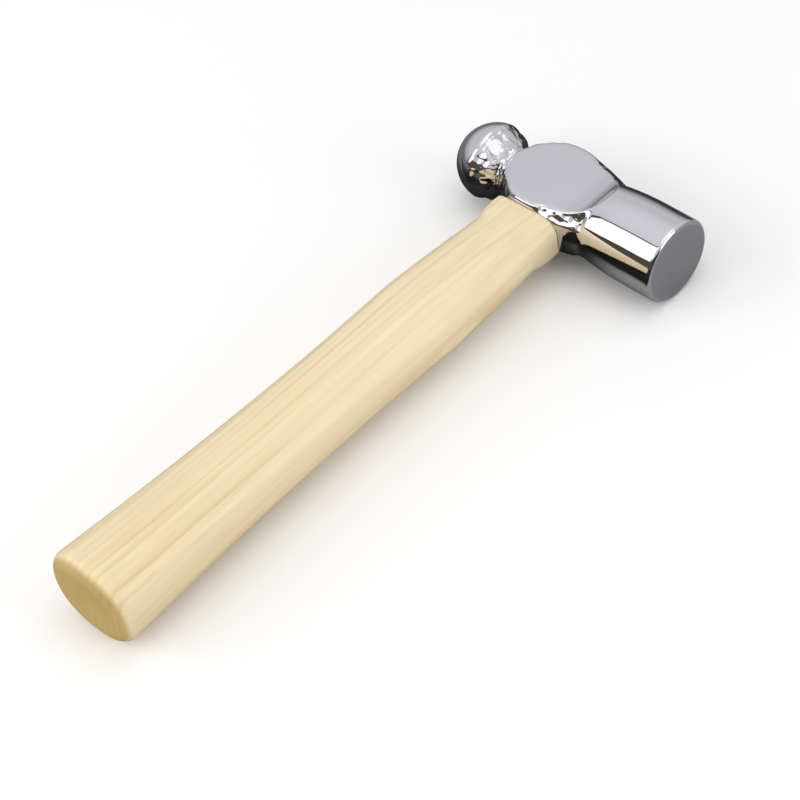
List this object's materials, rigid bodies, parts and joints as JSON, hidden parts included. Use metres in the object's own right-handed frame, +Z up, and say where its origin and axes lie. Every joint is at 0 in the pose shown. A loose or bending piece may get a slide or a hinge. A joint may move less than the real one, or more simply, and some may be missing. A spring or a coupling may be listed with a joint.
{
  "type": "ball peen hammer",
  "caption": "Ball peen hammer: polished steel head with a round striking face, flat cheeks and a ball, wedged on an oval pale wooden handle that widens to a rounded butt.",
  "frame": {"origin": "centre of the hammer's outline on the surface that it lies on", "axes": "+X along the head towards the striking face, the handle runs towards -Y, +Z up out of the upper cheek"},
  "size_m": [0.101, 0.2526, 0.0334],
  "materials": {
    "polished_steel": "mirror polished, with a fine ground striking face",
    "pale_wood": "satin clear lacquer over straight grain",
    "wedge_wood": "sawn end grain",
    "wedge_steel": "dull mild steel"
  },
  "bodies": {
    "root": {"head": "polished_steel", "handle": "pale_wood", "wood_wedge": "wedge_wood", "steel_wedge_front": "wedge_steel", "steel_wedge_rear": "wedge_steel"}
  },
  "joints": []
}
